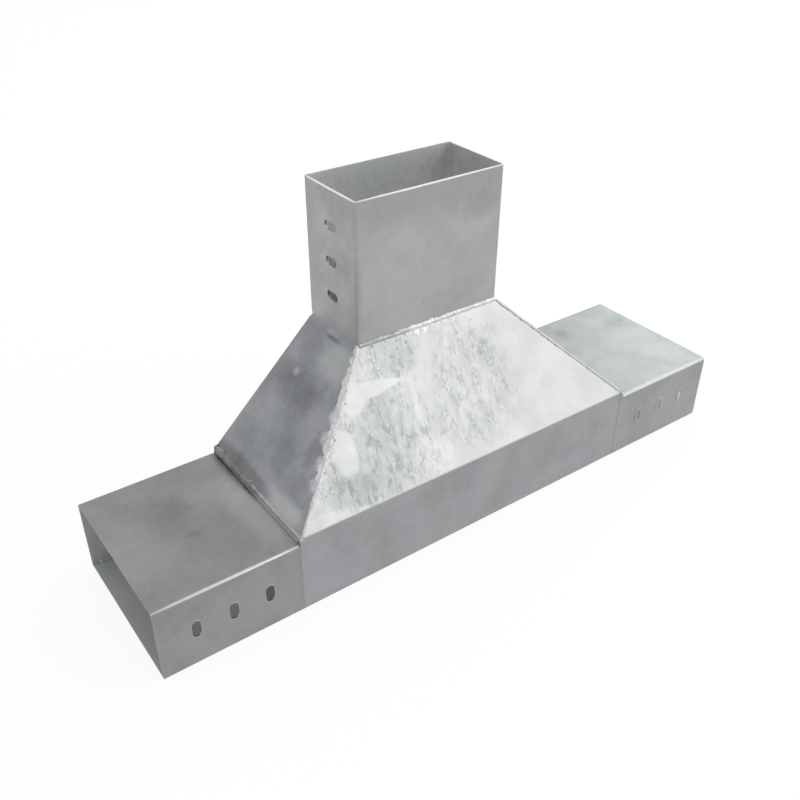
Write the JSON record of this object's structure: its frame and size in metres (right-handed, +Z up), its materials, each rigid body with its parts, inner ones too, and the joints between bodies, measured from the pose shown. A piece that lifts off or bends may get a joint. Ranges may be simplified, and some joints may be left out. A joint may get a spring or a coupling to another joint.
{
  "type": "cable tray vertical tee",
  "caption": "Closed sheet-steel tray run, open at both ends, with a sloping hood that closes in to a rectangular riser standing flush with its back.",
  "frame": {"origin": "middle of the underside of the run", "axes": "+X along the run, +Y towards the flush back wall, +Z up along the riser"},
  "size_m": [0.83, 0.2046, 0.4075],
  "materials": {
    "galvanised_sheet": "hot-dip galvanised, dull grey with bright patches",
    "weld_metal": "rough weld bead under bright zinc"
  },
  "bodies": {
    "root": {"left_stub": "galvanised_sheet", "right_stub": "galvanised_sheet", "front_panel": "galvanised_sheet", "riser_sheet": "galvanised_sheet", "back_plate": "galvanised_sheet", "bottom_plate": "galvanised_sheet", "left_hip_weld": "weld_metal", "right_hip_weld": "weld_metal", "riser_front_weld": "weld_metal", "left_foot_weld": "weld_metal", "right_foot_weld": "weld_metal", "left_front_seam_weld": "weld_metal", "right_front_seam_weld": "weld_metal", "left_back_seam_weld": "weld_metal", "right_back_seam_weld": "weld_metal", "left_hood_back_weld": "weld_metal", "right_hood_back_weld": "weld_metal", "left_riser_back_weld": "weld_metal", "right_riser_back_weld": "weld_metal", "base_front_weld": "weld_metal", "base_back_weld": "weld_metal"}
  },
  "joints": []
}
